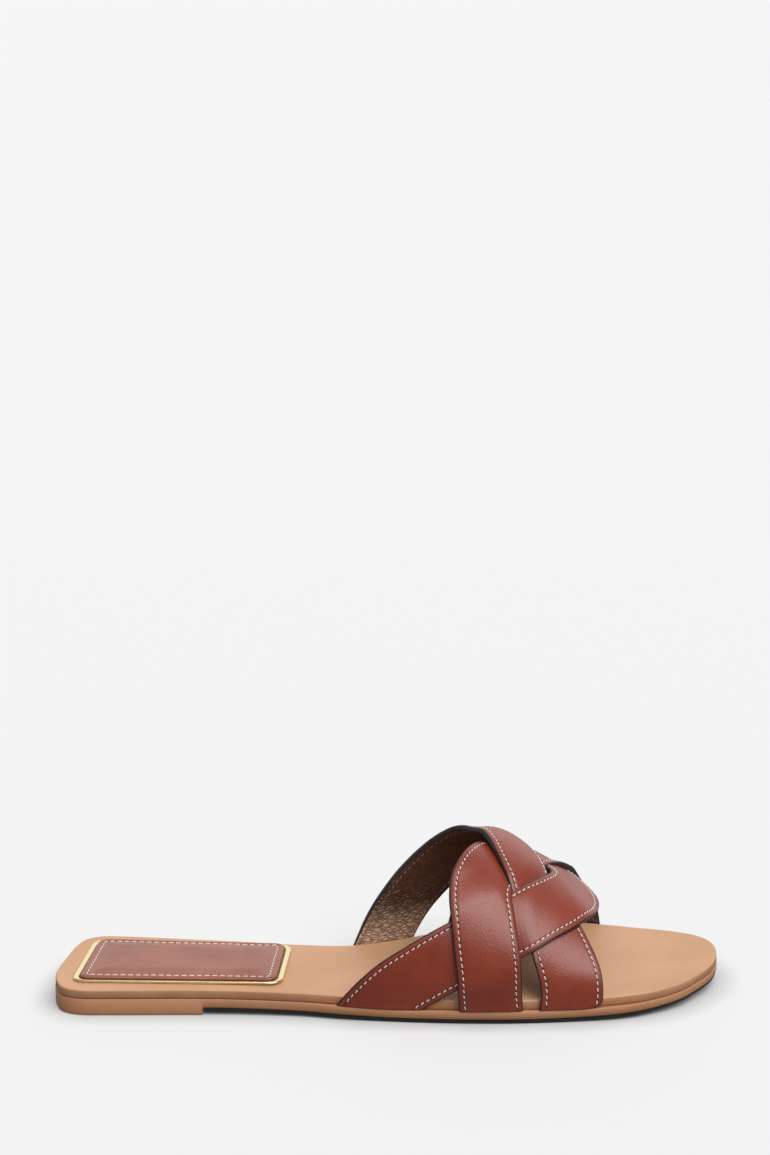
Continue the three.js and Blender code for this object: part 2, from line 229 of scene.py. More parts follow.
key_energy = 2.35
key_spread = math.radians(52)
key_from = Vector((0.36, -0.45, 0.82))
key = bpy.data.objects.new("key_light", bpy.data.lights.new("key_light", "SUN"))
key.data.energy = key_energy
key.data.angle = key_spread
key.rotation_euler = key_from.to_track_quat("Z", "Y").to_euler()
bpy.context.scene.collection.objects.link(key)


# Last. The form inside the shoe, from the same few sizes and tables as the solids: the plan of the
# insole, the side view of the sole, the height of the instep, and the lines that the straps follow.
shoe_length = 256 * MM
ball_width = 88 * MM
insole_board = 3.4 * MM
outsole_layer = 3.4 * MM
heel_lift = 2.9 * MM
heel_length = 57.4 * MM
tread_sheet = 1.3 * MM
toe_spring = 3.2 * MM
seam = 0.3 * MM
edge_ledge = 0.15 * MM
strap_ledge = 1.7 * MM
ledge_widens = (0.36, 0.43)
ledge_narrows = (0.83, 0.9)
board_thinning = 0.6
tread_thinning = 2
crest_height = 62 * MM
crest_lean = 4.4 * MM
arch_squareness = 2.3
skirt_clearance = 0.4 * MM

outline = np.array([
    (0.0020, -0.114), (0.0070, -0.215), (0.0190, -0.288), (0.0420, -0.323), (0.0900, -0.329),
    (0.1800, -0.327), (0.2750, -0.330), (0.3700, -0.350), (0.4700, -0.385), (0.5780, -0.413),
    (0.6720, -0.417), (0.7600, -0.399), (0.8300, -0.372), (0.8840, -0.325), (0.9270, -0.243),
    (0.9550, -0.148), (0.9800, -0.040), (0.9930, 0.074), (0.9970, 0.182), (0.9905, 0.280),
    (0.9700, 0.362), (0.9300, 0.430), (0.8830, 0.483), (0.8360, 0.536), (0.7970, 0.571),
    (0.7450, 0.581), (0.6880, 0.555), (0.6200, 0.493), (0.5550, 0.412), (0.4950, 0.322),
    (0.4300, 0.251), (0.3550, 0.252), (0.2650, 0.283), (0.1700, 0.315), (0.0940, 0.344),
    (0.0540, 0.347), (0.0310, 0.310), (0.0190, 0.226), (0.0100, 0.080),
])
side_view = {
    "along": (0.0, 0.24, 0.38, 0.50, 0.60, 0.72, 0.82, 0.91, 1.00, 1.05),
    "waist": (1.0, 1.0, 0.6, 0.0, 0.0, 0.0, 0.0, 0.0, 0.0, 0.0),
    "spring": (0.0, 0.0, 0.0, 0.0, 0.0, 0.0, 0.19, 0.59, 1.10, 1.43),
    "thinning": (0.0, 0.0, 0.0, 0.0, 0.0, 0.0, 0.04, 0.11, 0.20, 0.24),
}
instep = {
    "along": (0.38, 0.50, 0.60, 0.67, 0.72, 0.77, 0.82, 0.90),
    "height": (1.060, 0.975, 0.875, 0.765, 0.650, 0.515, 0.400, 0.290),
}


def smoothstep(x, low, high):
    share = np.clip((x - low) / (high - low), 0, 1)
    return share * share * (3 - 2 * share)


def column(table, name):
    """A smooth curve through one column of a table, over the distance from the heel."""
    at = np.array(table["along"]) * shoe_length
    value = np.array(table[name])
    secant = np.diff(value) / np.diff(at)
    slope = np.concatenate(([secant[0]], (secant[1:] + secant[:-1]) / 2, [secant[-1]]))

    def curve(x):
        x = np.clip(x, at[0], at[-1])
        i = np.clip(np.searchsorted(at, x, side="right") - 1, 0, len(at) - 2)
        run = at[i + 1] - at[i]
        p = (x - at[i]) / run
        start = (2 * p**3 - 3 * p**2 + 1) * value[i] + (p**3 - 2 * p**2 + p) * run * slope[i]
        end = (3 * p**2 - 2 * p**3) * value[i + 1] + (p**3 - p**2) * run * slope[i + 1]
        return start + end

    return curve


waist = column(side_view, "waist")
spring = column(side_view, "spring")
thinning = column(side_view, "thinning")
instep_height = column(instep, "height")


def tread_bottom(x):
    return np.maximum(0, waist(x)) * (heel_lift - tread_sheet - seam) + spring(x) * toe_spring


def outsole_bottom(x):
    return tread_bottom(x) + tread_sheet * (1 - tread_thinning * thinning(x)) + seam


def outsole_top(x):
    return outsole_bottom(x) + outsole_layer * (1 - thinning(x))


def strap_seat(x):
    return outsole_top(x) + seam


def insole_top(x):
    return strap_seat(x) + insole_board * (1 - board_thinning * thinning(x))


def ledge(x):
    """How far the outsole stands out past the insole, which is more along the straps."""
    enter = smoothstep(x / shoe_length, *ledge_widens)
    leave = 1 - smoothstep(x / shoe_length, *ledge_narrows)
    return edge_ledge + (strap_ledge - edge_ledge) * enter * leave


def spline(knots, closed, per_span):
    """A centripetal Catmull-Rom curve through rows of points."""
    knots = np.asarray(knots, float)
    if closed:
        points = np.vstack((knots[-1], knots, knots[:2]))
    else:
        points = np.vstack((2 * knots[0] - knots[1], knots, 2 * knots[-1] - knots[-2]))
    rows = []
    for p0, p1, p2, p3 in zip(points, points[1:], points[2:], points[3:]):
        d0, d1, d2 = (np.sqrt(np.linalg.norm(b - a)) for a, b in ((p0, p1), (p1, p2), (p2, p3)))
        m1 = d1 * ((p1 - p0) / d0 - (p2 - p0) / (d0 + d1) + (p2 - p1) / d1)
        m2 = d1 * ((p2 - p1) / d1 - (p3 - p1) / (d1 + d2) + (p3 - p2) / d2)
        for t in np.arange(per_span) / per_span:
            low = (2 * t**3 - 3 * t**2 + 1) * p1 + (t**3 - 2 * t**2 + t) * m1
            rows.append(low + (3 * t**2 - 2 * t**3) * p2 + (t**3 - t**2) * m2)
    if not closed:
        rows.append(knots[-1])
    return np.array(rows)


plan = spline(outline * (shoe_length, ball_width), True, 12)
breaks = []
for i, (here, ahead) in enumerate(zip(plan, np.roll(plan, -1, axis=0))):
    breaks.append(here)
    if (here[0] - heel_length) * (ahead[0] - heel_length) < 0:
        share = (heel_length - here[0]) / (ahead[0] - here[0])
        breaks += [here + (ahead - here) * (share - 0.01), here + (ahead - here) * (share + 0.01)]
plan = np.array(breaks)
before = np.roll(plan, 1, axis=0)
after = np.roll(plan, -1, axis=0)
heading = after - before
plan_normal = np.column_stack((heading[:, 1], -heading[:, 0]))
plan_normal /= np.linalg.norm(plan_normal, axis=1)[:, None]
heel_end = int(np.argmin(plan[:, 0]))
round_shoe = np.roll(plan, -heel_end, axis=0)
toe_end = int(np.argmax(round_shoe[:, 0]))
outer_side = round_shoe[: toe_end + 1]
inner_side = np.vstack((round_shoe[toe_end:], round_shoe[:1]))[::-1]
seat_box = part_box("insole")
to_frame = np.array([seat_box[0].x - plan[:, 0].min(), seat_box[0].y - plan[:, 1].min(), 0.0])


def last_point(round_at, x):
    """The inside of the upper: a squared arch over the foot, from 0 at the outer edge to 1 at the inner."""
    outer = np.interp(x, outer_side[:, 0], outer_side[:, 1]) - skirt_clearance
    inner = np.interp(x, inner_side[:, 0], inner_side[:, 1]) + skirt_clearance
    on_arch = np.clip(round_at, 0, 1)
    side = np.cos(np.pi * on_arch)
    rise = np.sin(np.pi * on_arch)
    reach = (np.abs(side) ** arch_squareness + np.abs(rise) ** arch_squareness) ** (-1 / arch_squareness)
    drop = np.abs(round_at - on_arch) * np.pi * crest_height
    y = (outer + inner) / 2 - (inner - outer) / 2 * reach * side + crest_lean * (rise * reach) ** 2
    z = strap_seat(x) + crest_height * instep_height(x) * reach * rise - drop
    return np.stack((x, y, z), axis=-1)


def dot(a, b):
    return (a * b).sum(axis=-1)


def unit(a):
    return a / np.linalg.norm(a, axis=-1)[..., None]


def last_frame(round_at, x):
    round_step, x_step = 0.002, 0.5 * MM
    by_round = last_point(round_at + round_step, x) - last_point(round_at - round_step, x)
    by_x = last_point(round_at, x + x_step) - last_point(round_at, x - x_step)
    by_round = by_round / (2 * round_step)
    by_x = by_x / (2 * x_step)
    return by_round, by_x, unit(np.cross(by_x, by_round))


# Straps. Three bands of polished reddish brown calf with a dark brown lining, glued back to back, with
# black painted edges. They cross over and under each other and are lasted under the edge of the insole.
strap_lines = {
    "strap_inner_rear_to_outer_front": [
        (1.06, 0.467), (1.00, 0.486), (0.94, 0.508), (0.88, 0.536), (0.80, 0.582), (0.73, 0.615),
        (0.65, 0.643), (0.57, 0.662), (0.47, 0.681), (0.42, 0.689), (0.37, 0.700), (0.28, 0.725),
        (0.19, 0.746), (0.10, 0.761), (0.00, 0.762), (-0.06, 0.758),
    ],
    "strap_outer_rear_to_inner_middle": [
        (-0.06, 0.448), (-0.02, 0.466), (0.035, 0.505), (0.075, 0.546), (0.113, 0.587), (0.152, 0.628),
        (0.19, 0.664), (0.22, 0.688), (0.252, 0.708), (0.295, 0.733), (0.34, 0.752), (0.385, 0.765),
        (0.43, 0.770), (0.50, 0.762), (0.57, 0.746), (0.67, 0.716), (0.78, 0.684), (0.90, 0.651),
        (1.00, 0.631), (1.06, 0.608),
    ],
    "strap_outer_middle_to_inner_front": [
        (-0.06, 0.648), (0.00, 0.646), (0.04, 0.644), (0.09, 0.642), (0.146, 0.637), (0.206, 0.632),
        (0.25, 0.629), (0.29, 0.632), (0.335, 0.642), (0.40, 0.661), (0.48, 0.683), (0.56, 0.704),
        (0.64, 0.723), (0.72, 0.742), (0.81, 0.763), (0.90, 0.779), (1.00, 0.787), (1.06, 0.789),
    ],
}
over_under = {
    "strap_inner_rear_to_outer_front": ("strap_outer_middle_to_inner_front", 10 * MM),
    "strap_outer_rear_to_inner_middle": ("strap_inner_rear_to_outer_front", 18 * MM),
    "strap_outer_middle_to_inner_front": ("strap_outer_rear_to_inner_middle", 14 * MM),
}
twisted = {"strap_outer_middle_to_inner_front": (112 * MM, 22 * MM, 0.3 * MM, 9 * MM)}
round_cornered = "strap_inner_rear_to_outer_front"
corner_radius = 3 * MM
strap_width = 23.2 * MM
strap_wall = 2.4 * MM
skived_wall = 1.4 * MM
skive_rise = 13 * MM
station_step = 0.9 * MM
crossing_gap = 0.06 * MM
press_inside = 5 * MM
press_outside = 7 * MM
stitch_inset = 2.05 * MM
face_crown = 0.15 * MM
stitch_channel = 0.16 * MM
channel_reach = 0.35 * MM
edge_rounding = 0.25 * MM
rounding_reach = 1.3 * MM
edge_bulges = {0.25: 0.10 * MM, 0.5: 0.14 * MM, 0.75: 0.10 * MM}
wave_size = 14 * MM
wave_height = 0.3 * MM
wrinkle_size = 2.6 * MM
wrinkle_height = 0.25 * MM
half_width = strap_width / 2
edge_offsets = np.array([0.0, 0.12, 0.35, 0.7, 1.1, 1.45, 1.7, 1.93, 2.05, 2.17, 2.4, 2.8, 3.4]) * MM
middle_offsets = np.linspace(4.2 * MM, half_width, 9)
offsets = np.concatenate((edge_offsets, middle_offsets))
across = np.concatenate((offsets - half_width, (half_width - offsets[:-1])[::-1]))
from_edge = half_width - np.abs(across)
stitch_rows = [int(np.argmin(np.abs(from_edge[: len(offsets)] - stitch_inset)))]
stitch_rows.append(len(across) - 1 - stitch_rows[0])


def walk_sideways(round_at, x, sideways, distance):
    """Moves places on the last by a distance to one side, keeping to its surface."""
    by_round, by_x, normal = last_frame(round_at, x)
    move = unit(sideways - dot(sideways, normal)[:, None] * normal) * distance
    rr, rx, xx = dot(by_round, by_round), dot(by_round, by_x), dot(by_x, by_x)
    along_round, along_x = dot(by_round, move), dot(by_x, move)
    area = rr * xx - rx * rx
    return (
        round_at + (xx * along_round - rx * along_x) / area,
        x + (rr * along_x - rx * along_round) / area,
    )


def lay_strap(line):
    """Places and normals on the last under a strap, for each station along it and offset across it."""
    arch = np.pi * crest_height
    path = spline([(along * shoe_length, at * arch) for at, along in line], False, 24)
    centres = last_point(path[:, 1] / arch, path[:, 0])
    run = np.concatenate(([0], np.cumsum(np.linalg.norm(np.diff(centres, axis=0), axis=1))))
    stations = np.linspace(0, run[-1], int(run[-1] / station_step) + 1)
    x = np.interp(stations, run, path[:, 0])
    round_at = np.interp(stations, run, path[:, 1] / arch)
    centres = last_point(round_at, x)
    normal = last_frame(round_at, x)[2]
    sideways = unit(np.cross(normal, np.gradient(centres, axis=0)))
    places = np.zeros((len(stations), len(across), 2))
    middle = len(offsets) - 1
    places[:, middle] = np.stack((round_at, x), axis=-1)
    for direction in (-1, 1):
        at = (round_at, x)
        for k in range(1, middle + 1):
            here = middle + direction * k
            step = across[here] - across[here - direction]
            for _ in range(2):
                at = walk_sideways(*at, sideways, step / 2)
            places[:, here] = np.stack(at, axis=-1)
    base = last_point(places[..., 0], places[..., 1])
    normals = last_frame(places[..., 0], places[..., 1])[2]
    return {"base": base, "normal": normals, "centres": centres, "stations": stations, "x": places[..., 1]}


laid = {name: lay_strap(line) for name, line in strap_lines.items()}


def wall_at(strap):
    """Thickness of a strap, which is pared down towards the sole."""
    rise = smoothstep(strap["base"][..., 2] - strap_seat(strap["x"]), 0, skive_rise)
    return skived_wall + (strap_wall - skived_wall) * rise


def hump(distance, width):
    return np.exp(-((distance / width) ** 2))


def distance_to(points, line, spacing, sharpness=10):
    """Distance from a line of points, smooth also where the line bends."""
    total = np.zeros(len(points))
    for first in range(0, len(line), 40):
        apart = np.linalg.norm(points[:, None] - line[None, first : first + 40], axis=2)
        total += (apart**-sharpness).sum(axis=1)
    spread = math.sqrt(math.pi) * math.gamma((sharpness - 1) / 2) / math.gamma(sharpness / 2)
    return (spread / (spacing * total)) ** (1 / (sharpness - 1))


def settle(name):
    """How far a strap is raised by the one that it crosses over, and pressed back by the one over it."""
    strap = laid[name]
    crossed, ramp = over_under[name]
    presser = next(other for other, rule in over_under.items() if rule[0] == name)
    points = strap["base"].reshape(-1, 3)
    beyond, outside = (
        distance_to(points, laid[other]["centres"], station_step).reshape(-1, len(across)) - half_width
        for other in (crossed, presser)
    )
    cover = 1 - smoothstep(beyond, 0, ramp)
    return (wall_at(strap) + crossing_gap) * cover * smoothstep(outside, -press_inside, press_outside)


def relief(points, size, height, seed):
    """Gentle unevenness of the leather, in metres."""
    shape = points.shape[:-1]
    flat = points.reshape(-1, 3) / size + seed
    return np.array([noise.noise(Vector(p)) for p in flat]).reshape(shape) * height


def painted_edge(inner, outer, outward, shares):
    """Lines along the rounded side of a strap, at these shares of the way from its lining to its face."""
    return [
        (inner * (1 - share) + outer * share + outward * edge_bulges[share])[:, None] for share in shares
    ]


def make_strap(name, seed):
    strap = laid[name]
    base, normal = strap["base"], strap["normal"]
    wall = wall_at(strap)
    lift = settle(name)
    if name in twisted:
        twist_at, twist_reach, sag, turn = twisted[name]
        twist = hump(strap["stations"] - twist_at, twist_reach)[:, None]
        lift = lift - twist * (sag + turn * (1 + across / half_width) / 2)
    rounding = edge_rounding * (1 - smoothstep(from_edge, 0, rounding_reach))
    channel = stitch_channel * hump(from_edge - stitch_inset, channel_reach)
    crown = face_crown * (1 - (across / half_width) ** 2)
    uneven = relief(base, wave_size, wave_height, seed)
    wrinkles = relief(base * (1, 1, 1.6), wrinkle_size, wrinkle_height, seed + 9)
    wrinkles = wrinkles * smoothstep(from_edge, 1 * MM, 4 * MM)
    outer_height = lift + wall + crown - rounding - channel + uneven
    inner_height = lift + rounding + 0.6 * channel + uneven + wrinkles
    outer = base + normal * outer_height[..., None]
    inner = base + normal * inner_height[..., None]
    if name == round_cornered:
        height = np.clip(base[..., 2] - strap_seat(strap["x"]), 0, corner_radius)
        inset = corner_radius - np.sqrt(corner_radius**2 - (corner_radius - height) ** 2)
        last_half = np.arange(len(base)) > len(base) / 2
        inset = inset * last_half[:, None] * smoothstep(across, 0, half_width)
        drawn_in = -unit(base[:, -1] - base[:, 0])[:, None] * inset[..., None]
        outer = outer + drawn_in
        inner = inner + drawn_in
    right = painted_edge(inner[:, -1], outer[:, -1], unit(base[:, -1] - base[:, -2]), (0.25, 0.5, 0.75))
    left = painted_edge(inner[:, 0], outer[:, 0], unit(base[:, 0] - base[:, 1]), (0.75, 0.5, 0.25))
    grid = np.concatenate([inner, *right, outer[:, ::-1], *left], axis=1)
    seat = strap_seat(grid[..., 0])
    above = grid[..., 2] > seat
    grid[..., 2] = np.maximum(grid[..., 2], seat)
    count, ring = grid.shape[:2]
    faces, kinds = [], []
    width = len(across)
    for i in range(count - 1):
        for k in range(ring):
            j = (k + 1) % ring
            corner = ((i, k), (i, j), (i + 1, j), (i + 1, k))
            if any(above[c] for c in corner):
                faces.append([a * ring + b for a, b in corner])
                on_lining = 2 <= k < width - 3
                on_face = width + 5 <= k < 2 * width
                kinds.append(0 if on_face else 2 if on_lining else 1)
    piece = add_mesh(name, (grid + to_frame).reshape(-1, 3), faces)
    piece.data.polygons.foreach_set("material_index", kinds)
    u = np.repeat(strap["stations"], ring)
    side = [half_width] * len(edge_bulges)
    t = np.concatenate((across, side, across[::-1], np.negative(side)))
    v = np.tile(t, count)
    layer = piece.data.uv_layers.new(name="strap")
    loops = np.zeros(len(piece.data.loops), int)
    piece.data.loops.foreach_get("vertex_index", loops)
    layer.data.foreach_set("uv", np.column_stack((u[loops], v[loops])).ravel())
    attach(piece, "root")
    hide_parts("upper")
    rows = [(outer[:, k], normal[:, k]) for k in stitch_rows]
    rows += [(inner[:, k], -normal[:, k]) for k in stitch_rows]
    return piece, rows


# Strap leather. Aniline calf, reddish brown, polished over a fine pebble grain, slightly darker in
# patches, with painted shade in a narrow band along each stitch channel.
calf = Paint("calf", specular_ior_level=0.7)
at = calf.place()
side = abs(calf.part(calf.node("ShaderNodeUVMap", {"uv_map": "strap"}, {}), 1))
patches = calf.noise(at, 22 * MM, 2)
pull = calf.noise(at, 3 * MM, 3)
tone = calf.blend(patches.ramp(0.3, 0.7), linear(138, 49, 24), linear(150, 57, 30))
tone = calf.blend(pull.ramp(0.4, 0.8) * 0.3, tone, linear(116, 39, 20))
# Painted shade: the leather is darkened in a narrow band along the stitch channel, for the shade in the
# groove.
channel = abs(side - (half_width - stitch_inset))
tone = calf.blend((1 - channel.ramp(0.2 * MM, 0.6 * MM)) * 0.6, tone, linear(60, 24, 16))
pebble = calf.cells(at, 0.65 * MM, "SMOOTH_F1")
pores = calf.noise(at, 0.35 * MM, 2)
grain = pebble * 0.7 + pores * 0.3
calf_leather = calf.finish(tone, 0.32 + patches * 0.06 + pebble * 0.06, grain, 0.08 * MM)

# Edge paint. Black acrylic, rolled on in two coats, so it is smooth but not quite even.
ink = Paint("edge_paint")
at = ink.place()
uneven = ink.noise(at, 2 * MM, 3)
edge_paint = ink.finish(
    ink.blend(uneven, linear(30, 27, 27), linear(46, 42, 42)), 0.38 + uneven * 0.2, uneven, 0.06 * MM
)

# Lining. Dark brown glazed sheepskin, crinkled across the strap where it bends, with painted shade in its
# creases and painted light low down, where the lit insole would reflect on it.
skin = Paint("lining", specular_ior_level=0.9)
at = skin.place()
warp = skin.node("ShaderNodeTexNoise", {}, {"Vector": at, "Scale": 1 / (4 * MM), "Detail": 2.0}, "Color")
squash = skin.node("ShaderNodeMapping", {}, {"Vector": at, "Scale": (0.6, 0.6, 1.5)})
drift = skin.node("ShaderNodeVectorMath", {"operation": "SCALE"}, {0: warp, "Scale": 2.2 * MM})
bent = skin.node("ShaderNodeVectorMath", {"operation": "ADD"}, {0: squash, 1: drift})
folds = skin.cells(bent, 1.9 * MM, "DISTANCE_TO_EDGE").ramp(0.0, 0.24)
fine = skin.noise(at, 0.8 * MM, 3)
tint = skin.noise(at, 9 * MM, 2)
tone = skin.blend(tint.ramp(0.3, 0.7), linear(74, 41, 27), linear(98, 57, 39))
low = 1 - skin.part(at, 2).ramp(12 * MM, 40 * MM)
# Painted light: the lining turns pale tan low down and towards the heel, standing for the lit insole's
# light reflected on it.
painted_insole_reflection = (1 - skin.part(at, 2).ramp(9 * MM, 26 * MM)) * (1 - skin.part(at, 0).ramp(14 * MM, 32 * MM))
tone = skin.blend(painted_insole_reflection, tone, linear(222, 184, 158))
# Painted shade: the creases between the crinkles are darkened, as if in shade.
tone = skin.blend((1 - folds) * 0.6, tone, linear(44, 24, 17))
crinkle = (0.2 + low * 0.6) * folds + fine * 0.3
lining_leather = skin.finish(tone, 0.4 - low * 0.12 + fine * 0.1, crinkle, 0.4 * MM)

strap_rows = []
for seed, name in enumerate(strap_lines):
    piece, rows = make_strap(name, 5.0 * seed)
    for material in (calf_leather, edge_paint, lining_leather):
        piece.data.materials.append(material)
    strap_rows.append((name, rows))


# Stitching. Waxed off-white thread in a lockstitch, two rows along each strap, sunk into its own channel.
# Seen on the lining it is painted a darker brown, as painted shade.
stitch_pitch = 2.45 * MM
stitch_length = 1.85 * MM
thread_radius = 0.21 * MM
thread_sides = 7
thread_slant = 0.16
thread_rise = 0.45
thread_plunge = 20.8


def sew(name, rows, material, floor_at=None, closed=False, wanted_pitch=stitch_pitch, length=stitch_length):
    """One mesh of all the stitches along rows of points with their normals, and of dark discs of painted
    shade at the holes between.
    """
    vertices, faces, kinds = [], [], []
    for points, normals in rows:
        if closed:
            points = np.vstack((points, points[:1]))
            normals = np.vstack((normals, normals[:1]))
        run = np.concatenate(([0], np.cumsum(np.linalg.norm(np.diff(points, axis=0), axis=1))))
        count = round(run[-1] / wanted_pitch)
        pitch = run[-1] / count
        for i in range(count):
            shares = np.linspace(-0.5, 0.5, 7)
            at = (i + 0.5) * pitch + shares * length
            line = np.stack([np.interp(at, run, points[:, c]) for c in range(3)], axis=1)
            up = unit(np.stack([np.interp(at, run, normals[:, c]) for c in range(3)], axis=1))
            if floor_at is not None and (line[:, 2] < floor_at(line[:, 0]) + thread_radius).any():
                continue
            ahead = unit(np.gradient(line, axis=0))
            left = unit(np.cross(up, ahead))
            slant = (shares * thread_slant * length)[:, None] * left
            dip = (thread_radius * (thread_rise - thread_plunge * shares**4))[:, None] * up
            centre = line + slant + dip
            thick = thread_radius * np.array([0.6, 0.95, 1.0, 1.0, 1.0, 0.95, 0.6])
            first = len(vertices)
            for k in range(len(shares)):
                for s in range(thread_sides):
                    turn = 2 * math.pi * s / thread_sides
                    spoke = math.cos(turn) * left[k] + 0.8 * math.sin(turn) * up[k]
                    vertices.append(centre[k] + thick[k] * spoke)
            for k in range(len(shares) - 1):
                for s in range(thread_sides):
                    a = first + k * thread_sides + s
                    b = first + k * thread_sides + (s + 1) % thread_sides
                    faces.append((a, a + thread_sides, b + thread_sides, b))
            faces.append(tuple(first + s for s in range(thread_sides)))
            last = first + (len(shares) - 1) * thread_sides
            faces.append(tuple(last + s for s in reversed(range(thread_sides))))
            kinds += [0] * (len(faces) - len(kinds))
            # Painted shade: a flat dark disc laid on the leather at each needle hole between stitches.
            first = len(vertices)
            hole = np.array([np.interp((i + 1) * pitch, run, points[:, c]) for c in range(3)])
            for s in range(thread_sides):
                turn = 2 * math.pi * s / thread_sides
                spoke = 1.2 * math.cos(turn) * ahead[-1] + 0.9 * math.sin(turn) * left[-1]
                vertices.append(hole + thread_radius * spoke + 0.03 * MM * up[-1])
            faces.append(tuple(range(first, first + thread_sides)))
            kinds.append(1)
    piece = add_mesh(name, np.array(vertices) + to_frame, faces)
    piece.data.materials.append(material)
    piece.data.materials.append(needle_hole_shade)
    piece.data.polygons.foreach_set("material_index", kinds)
    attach(piece, "root")
    return piece


# Needle holes: a dark colour that paints the shade inside each hole.
hollow = Paint("needle_hole_shade")
at = hollow.place()
fluff = hollow.noise(at, 0.3 * MM, 2)
needle_hole_shade = hollow.finish(hollow.blend(fluff, linear(38, 16, 12), linear(58, 26, 18)), 0.8)
thread = Paint("thread")
at = thread.place()
fluff = thread.noise(at, 0.3 * MM, 2)
shade = thread.blend(fluff, linear(250, 236, 226), linear(255, 252, 247))
white_thread = thread.finish(shade, 0.6, fluff, 0.03 * MM)
# Painted shade: the thread on the lining side is a darker brown than the white thread, for the shade it
# sits in.
dull = Paint("lining_thread")
at = dull.place()
fluff = dull.noise(at, 0.3 * MM, 2)
shade = dull.blend(fluff, linear(140, 96, 76), linear(176, 130, 108))
painted_shade_thread = dull.finish(shade, 0.6, fluff, 0.03 * MM)

for name, rows in strap_rows:
    sew(name + "_stitches", rows[:2], white_thread, strap_seat)
    sew(name + "_lining_stitches", rows[2:], painted_shade_thread, strap_seat)


# Insole. A thin board covered in pale tan leather, drawn over its rounded edge.
def side_faces(count, around, closed=False):
    """Quads from each of count rings to the next, and from the last to the first if the rings close."""
    faces = []
    for k in range(count if closed else count - 1):
        for i in range(around):
            j, m = (i + 1) % around, (k + 1) % count
            faces.append((k * around + i, k * around + j, m * around + j, m * around + i))
    return faces


def plate_mesh(name, edge, material, side_material, side_count, replaced):
    """A plate inside the plan: one ring for each (outward, height) pair of functions, from below up.
    The lowest side_count strips take the material of the side."""
    rings = []
    for out, height in edge:
        ring = plan + plan_normal * out(plan[:, 0])[:, None]
        rings.append(np.column_stack((ring, height(ring[:, 0]))))
    grid = np.array(rings)
    count, around = grid.shape[:2]
    faces = side_faces(count, around)
    for ring, up in ((0, False), (count - 1, True)):
        faces += tie_across(grid[ring], ring * around, up)
    piece = add_mesh(name, (grid + to_frame).reshape(-1, 3), faces)
    piece.data.materials.append(material)
    piece.data.materials.append(side_material)
    kinds = [int(n < side_count * around) for n in range(len(faces))]
    piece.data.polygons.foreach_set("material_index", kinds)
    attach(piece, "root")
    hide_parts(replaced)
    return piece


def tie_across(ring, first, facing_up):
    """Triangles straight across a plan ring, so that the face follows the side view."""
    count = len(ring)
    along = ring[:, 0]
    heel, toe = int(np.argmin(along)), int(np.argmax(along))
    outer = inner = heel
    ties = []
    while outer != toe or inner != toe:
        next_outer, next_inner = (outer + 1) % count, (inner - 1) % count
        go_outer = inner == toe or (outer != toe and along[next_outer] <= along[next_inner])
        corners = (outer, next_outer, inner) if go_outer else (outer, next_inner, inner)
        if len(set(corners)) == 3:
            a, b, c = (first + corner for corner in corners)
            ties.append((a, b, c) if facing_up else (a, c, b))
        if go_outer:
            outer = next_outer
        else:
            inner = next_inner
    return ties


def constant(value):
    return lambda x: np.full_like(x, value)


def rounded_edge(top, radius, out, steps=6):
    """Rings of an edge that is rounded over at the top, and then two rings that hold its face flat."""
    rings = []
    for step in range(steps + 1):
        turn = math.pi / 2 * step / steps
        inset, drop = radius * (1 - math.cos(turn)), radius * (1 - math.sin(turn))
        rings.append((lambda x, inset=inset: out(x) - inset, lambda x, drop=drop: top(x) - drop))
    for extra in (0.4 * MM, 1.2 * MM):
        rings.append((lambda x, extra=extra: out(x) - radius - extra, top))
    return rings


tan = Paint("insole_leather")
at = tan.place()
cloud = tan.noise(at, 30 * MM, 3)
fine = tan.noise(at, 0.5 * MM, 2)
cells = tan.cells(at, 0.9 * MM, "SMOOTH_F1")
tone = tan.blend(cloud.ramp(0.3, 0.7), linear(208, 158, 119), linear(219, 169, 130))
insole_leather = tan.finish(tone, 0.54 + cloud * 0.1, cells * 0.5 + fine * 0.5, 0.03 * MM)
# Painted shade: the edge is the same leather as the top in a darker tone, for the shade on the side.
border = Paint("insole_edge")
at = border.place()
cloud = border.noise(at, 12 * MM, 3)
fine = border.noise(at, 0.5 * MM, 2)
tone = border.blend(cloud.ramp(0.3, 0.7), linear(196, 141, 102), linear(208, 152, 112))
insole_edge = border.finish(tone, 0.5 + cloud * 0.1, fine, 0.03 * MM)
bottom_edge = 0.16 * MM
insole_rounding = 0.7 * MM
plate_mesh(
    "insole_cover",
    [
        (constant(-bottom_edge), strap_seat),
        (constant(0.0), lambda x: strap_seat(x) + bottom_edge),
        *rounded_edge(insole_top, insole_rounding, constant(0.0)),
    ],
    insole_leather,
    insole_edge,
    3,
    "insole",
)


# Outsole. One moulding of tan rubber, thin under the foot and thicker under the heel, with crisp edges.
sole_edge = 0.2 * MM
ball_undercut = 0.6 * MM
sole = Paint("outsole_rubber")
at = sole.place()
cloud = sole.noise(at, 20 * MM, 3)
fine = sole.noise(at, 0.6 * MM, 2)
tone = sole.blend(cloud.ramp(0.3, 0.7), linear(190, 133, 95), linear(202, 144, 105))
outsole_rubber = sole.finish(tone, 0.5 + cloud * 0.1, fine, 0.03 * MM)


def sole_bottom(x):
    return np.where(x < heel_length, 0, outsole_bottom(x))


def undercut(x):
    """How far the side of the outsole is drawn in at its foot, under the ball."""
    return ball_undercut * (ledge(x) - edge_ledge) / (strap_ledge - edge_ledge)


